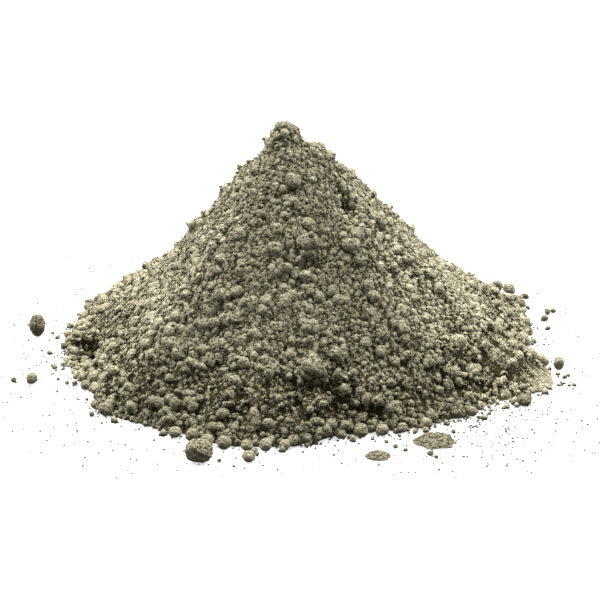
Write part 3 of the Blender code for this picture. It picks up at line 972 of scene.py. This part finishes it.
def floor_crumb_tree():
    """A tree that strews crumbs on the floor, fewer away from the foot and more in the named fields."""
    graph, given = shape_tree("floor_crumbs", {
        "Heap": "Object",
        "Forms": "Collection",
        "Material": "Material",
        "Per square metre": "Float",
        "Fades within": "Float",
        "Smallest": "Float",
        "Largest": "Float",
        "Patchiness": "Float",
        "Seed": "Int",
    })
    place = graph.add("GeometryNodeInputPosition")
    heap = graph.add("GeometryNodeObjectInfo", {"transform_space": "ORIGINAL"}, {"Object": given["Heap"]})
    heap = heap.other("Geometry")
    gap = graph.add("GeometryNodeProximity", {"target_element": "FACES"}, {0: heap}, output=1)
    patch_width, *patch_ends = FLOOR_PATCHES
    patch = graph.ramped(graph.noise(place, patch_width, detail=3.0, roughness=0.6), *patch_ends)
    under_heap = graph.add("GeometryNodeRaycast", None, {
        "Target Geometry": heap,
        "Source Position": graph.vector_math("ADD", place, (0.0, 0.0, RAY_START)),
        "Ray Direction": (0.0, 0.0, 1.0),
        "Ray Length": RAY_LENGTH,
    })
    field = 1.0
    for x, y, radius, thickness in SPECK_FIELDS.values():
        away = graph.vector_math("DISTANCE", place, (x, y, 0.0), output=1)
        field = graph.math("EXPONENT", away * away / -(radius ** 2)) * thickness + field
    density = given["Per square metre"] * field * graph.math("EXPONENT", gap / given["Fades within"] * -1.0)
    density = density * (1 - under_heap)
    density = density * (1 - given["Patchiness"] + given["Patchiness"] * patch)
    points = graph.strewn_on(given["Geometry"], density, given["Seed"])
    draw = graph.drawn("FLOAT", 0.0, 1.0, given["Seed"] + 1)
    size = given["Smallest"] + (given["Largest"] - given["Smallest"]) * draw ** FLOOR_RARITY
    turn = graph.vector(0.0, 0.0, graph.drawn("FLOAT", 0.0, math.tau, given["Seed"] + 2))
    lift = graph.vector(0.0, 0.0, size * FLOOR_CRUMB_LIFT)
    strewn = graph.set_on(graph.moved(points, lift), given["Forms"], turn, size)
    toned = graph.stored(strewn, "tone", graph.drawn("FLOAT", *FLOOR_TONES, given["Seed"] + 3), "INSTANCE")
    real = graph.add("GeometryNodeRealizeInstances", None, {"Geometry": toned})
    # Painted shade low on a floor crumb and a painted highlight high on it
    standing = (graph.parts(place)[2] - FLOOR_CRUMB_LEVEL) * FLOOR_CRUMB_RISE
    return end_tree(graph, graph.stored(graph.over_floor(real), "standing", standing), given["Material"])


def floor_crumbs(name, tree, skin, bed, finish, forms, values):
    """A piece of crumbs lying on the floor by the heap."""
    made = linked(name, bed.copy())
    add_tree(made, tree, {"Heap": skin, "Forms": forms, "Material": finish, **values})
    cover = plain(made, name)
    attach(cover, "root")


def named_crumbs(finish):
    """The crumbs that lie clear on the floor, each resting on it."""
    chance = random.Random(SEED)
    shape = bmesh.new()
    for x, y, width in NAMED_CRUMBS.values():
        size = Vector((width, width * CRUMB_DEPTH, width * CRUMB_HEIGHT))
        middle = Vector((x, y, width * CRUMB_REST))
        add_crumb(shape, chance, fineness=3, knobs=3, roughness=0.8, size=size, place=middle)
    for vert in shape.verts:
        vert.co.z = max(0.0, vert.co.z)
    for face in shape.faces:
        face.smooth = True
    made = linked("named_crumbs_form", mesh_of(shape, "named_crumbs_form"))
    add_tree(made, standing_tree(), {"Material": finish})
    crumbs = plain(made, "named_crumbs")
    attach(crumbs, "root")


def floor_and_light():
    """The pale floor, the lamps and the sky."""
    shape = bmesh.new()
    bmesh.ops.create_grid(shape, x_segments=1, y_segments=1, size=FLOOR_SIZE / 2)
    floor = linked("floor", mesh_of(shape, "floor"))
    floor.location.z = -FLOOR_DROP
    white = bpy.data.materials.new("floor_white")
    white.use_nodes = True
    shader = white.node_tree.nodes["Principled BSDF"]
    shader.inputs["Base Color"].default_value = FLOOR_WHITE
    shader.inputs["Roughness"].default_value = 0.9
    shader.inputs["Emission Color"].default_value = (1.0, 1.0, 1.0, 1.0)
    shader.inputs["Emission Strength"].default_value = FLOOR_GLOW
    shader.inputs["Specular IOR Level"].default_value = 0.0
    floor.data.materials.append(white)
    floor.visible_diffuse = False
    for name, (bearing, elevation, strength, softness) in LAMPS.items():
        lamp = bpy.data.lights.new(name, "SUN")
        lamp.energy = strength
        lamp.angle = math.radians(softness)
        made = linked(name, lamp)
        around, up = math.radians(bearing), math.radians(elevation)
        away = Vector((math.cos(around) * math.cos(up), math.sin(around) * math.cos(up), math.sin(up)))
        made.rotation_euler = away.to_track_quat("Z", "Y").to_euler()
    world = bpy.data.worlds.new("sky")
    world.use_nodes = True
    world.node_tree.nodes["Background"].inputs["Color"].default_value = SKY_COLOUR
    world.node_tree.nodes["Background"].inputs["Strength"].default_value = SKY_STRENGTH
    bpy.context.scene.world = world
    bpy.context.scene.view_settings.view_transform = "Standard"


def camera():
    """The camera at the photograph's place."""
    lens = bpy.data.cameras.new("camera")
    lens.lens = LENS_MM
    lens.sensor_width = FILM_MM
    made = linked("camera", lens)
    up = math.radians(LOOK_ELEVATION)
    back = Vector((0.0, -math.cos(up), math.sin(up)))
    made.location = LOOK_AT + LOOK_DISTANCE * back
    made.rotation_euler = back.to_track_quat("Z", "Y").to_euler()
    bpy.context.scene.camera = made


for old in list(bpy.data.objects):
    bpy.data.objects.remove(old)
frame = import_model()
cad_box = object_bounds()

camera()
floor_and_light()
finishes = {kind: powder_finish(*figures) for kind, figures in FINISHES.items()}
forms = {name: crumb_forms(name, *figures) for name, figures in CRUMB_FORMS.items()}

skin = whole_skin(finishes["powder"])
quarter = quarter_tree()
for name, (side_x, side_y) in QUARTERS.items():
    skin_piece(name, skin.data, quarter, side_x, side_y, finishes["powder"])
for number, (name, layer) in enumerate(SLOPE_LAYERS.items()):
    kind, form, density, smallest, largest, coarser, patchiness, highest = layer
    strewn_piece(name, skin.data, finishes[kind], forms[form], {
        "Per square metre": density,
        "Smallest": smallest,
        "Largest": largest,
        "Coarser at foot": coarser,
        "Sunk share": LAYER_SUNK,
        "Patchiness": patchiness,
        "Highest": highest,
        "Seed": SEED + 10 * (number + 1),
    })
granulate = granulate_tree()
for node in list(frame["nodes"]):
    if node != "cement_heap":
        lump_piece(node, granulate, finishes["spilt" if node.startswith("spill") else "caked"])
named_crumbs(finishes["caked"])
bed = floor_bed()
floor_tree = floor_crumb_tree()
for number, (name, layer) in enumerate(FLOOR_LAYERS.items()):
    kind, form, density, fading, smallest, largest, patchiness = layer
    floor_crumbs(name, floor_tree, skin, bed, finishes[kind], forms[form], {
        "Per square metre": density,
        "Fades within": fading,
        "Smallest": smallest,
        "Largest": largest,
        "Patchiness": patchiness,
        "Seed": FLOOR_SEED + 10 * number,
    })
bpy.data.meshes.remove(bed)
bpy.data.objects.remove(skin)
